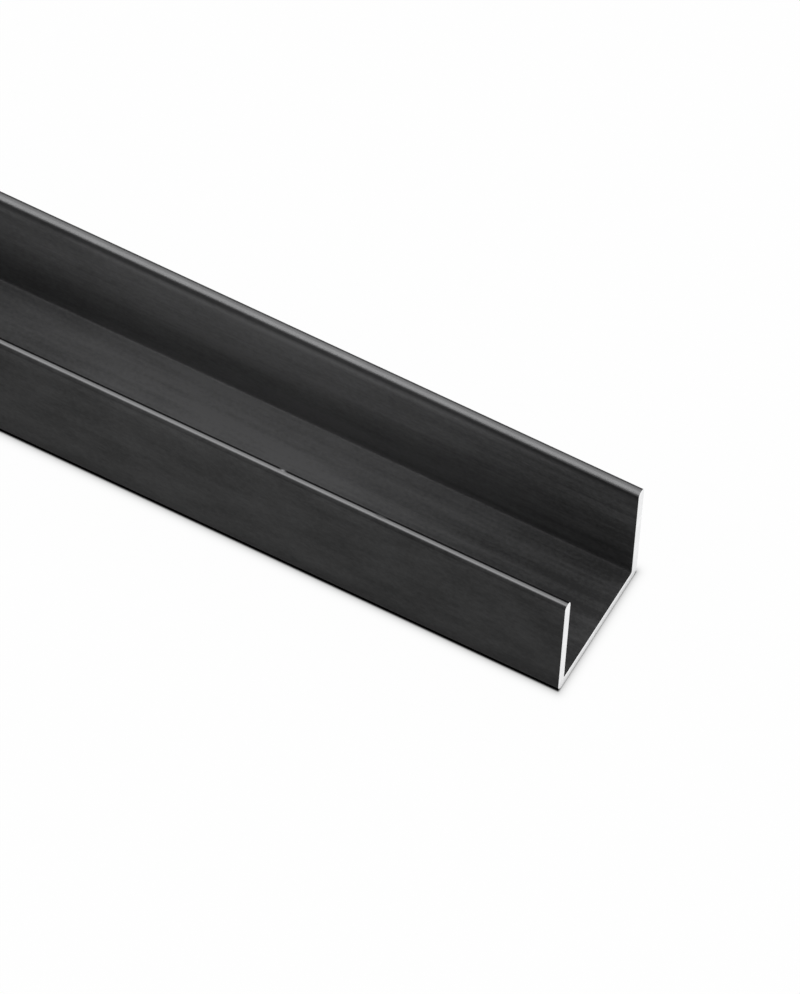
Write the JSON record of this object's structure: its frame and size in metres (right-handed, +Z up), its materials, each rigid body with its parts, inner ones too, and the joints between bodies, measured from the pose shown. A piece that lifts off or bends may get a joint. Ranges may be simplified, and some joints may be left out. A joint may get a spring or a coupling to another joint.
{
  "type": "aluminium u-channel profile",
  "caption": "Black anodised aluminium U-channel stock with rounded heels and flange tops and bare sawn ends, for capping panel edges, tracks and trims.",
  "frame": {"origin": "middle of the web's underside", "axes": "+X along the length, +Y across the web, +Z up out of the open side"},
  "size_m": [1, 0.025, 0.022],
  "materials": {
    "black_anodised": "satin black anodised, with bare sawn ends"
  },
  "bodies": {
    "root": {"u_channel": "black_anodised"}
  },
  "joints": []
}
